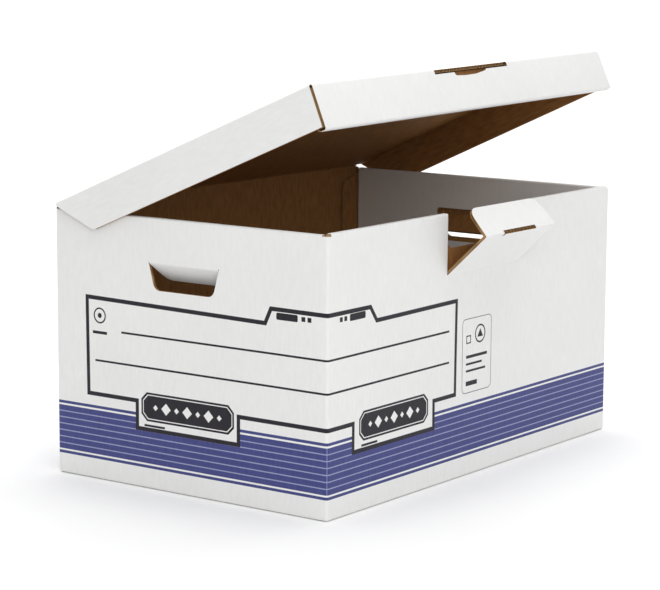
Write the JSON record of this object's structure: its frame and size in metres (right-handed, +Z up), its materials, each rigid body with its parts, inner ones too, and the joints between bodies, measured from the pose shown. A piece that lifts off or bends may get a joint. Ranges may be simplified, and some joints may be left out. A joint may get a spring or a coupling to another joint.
{
  "type": "archive storage box",
  "caption": "White corrugated-board archive box with an integral hinged lid propped open, a leaning lock flap in front and push-in hand holes at the ends.",
  "frame": {"origin": "centre of the body's underside", "axes": "+Z up, -Y out of the front wall with the lock flap, the lid's crease along X at the back (+Y)"},
  "size_m": [0.5584, 0.4081, 0.4337],
  "materials": {
    "board": "matte white liner outside with a blue and black print, brown kraft inside"
  },
  "bodies": {
    "body": {"body": "board"},
    "lid": {"lid": "board"},
    "lock_flap": {"lock_flap": "board"},
    "left_handle_flap": {"left_handle_flap": "board"},
    "right_handle_flap": {"right_handle_flap": "board"}
  },
  "joints": [
    {"name": "lid_hinge", "type": "hinge", "parent": "body", "child": "lid", "pos_m": [0, 0.1789, 0.2906], "axis": [-1, 0, 0], "range_deg": [-22.6, 187.4]},
    {"name": "lock_flap_hinge", "type": "hinge", "parent": "body", "child": "lock_flap", "pos_m": [0.006, -0.1805, 0.223], "axis": [1, 0, 0], "range_deg": [-47, 123]},
    {"name": "left_handle_hinge", "type": "hinge", "parent": "body", "child": "left_handle_flap", "pos_m": [-0.2718, 0.0035, 0.2412], "axis": [0, -1, 0], "range_deg": [-46, 44]},
    {"name": "right_handle_hinge", "type": "hinge", "parent": "body", "child": "right_handle_flap", "pos_m": [0.2718, 0.0035, 0.2412], "axis": [0, 1, 0], "range_deg": [-46, 44]}
  ]
}
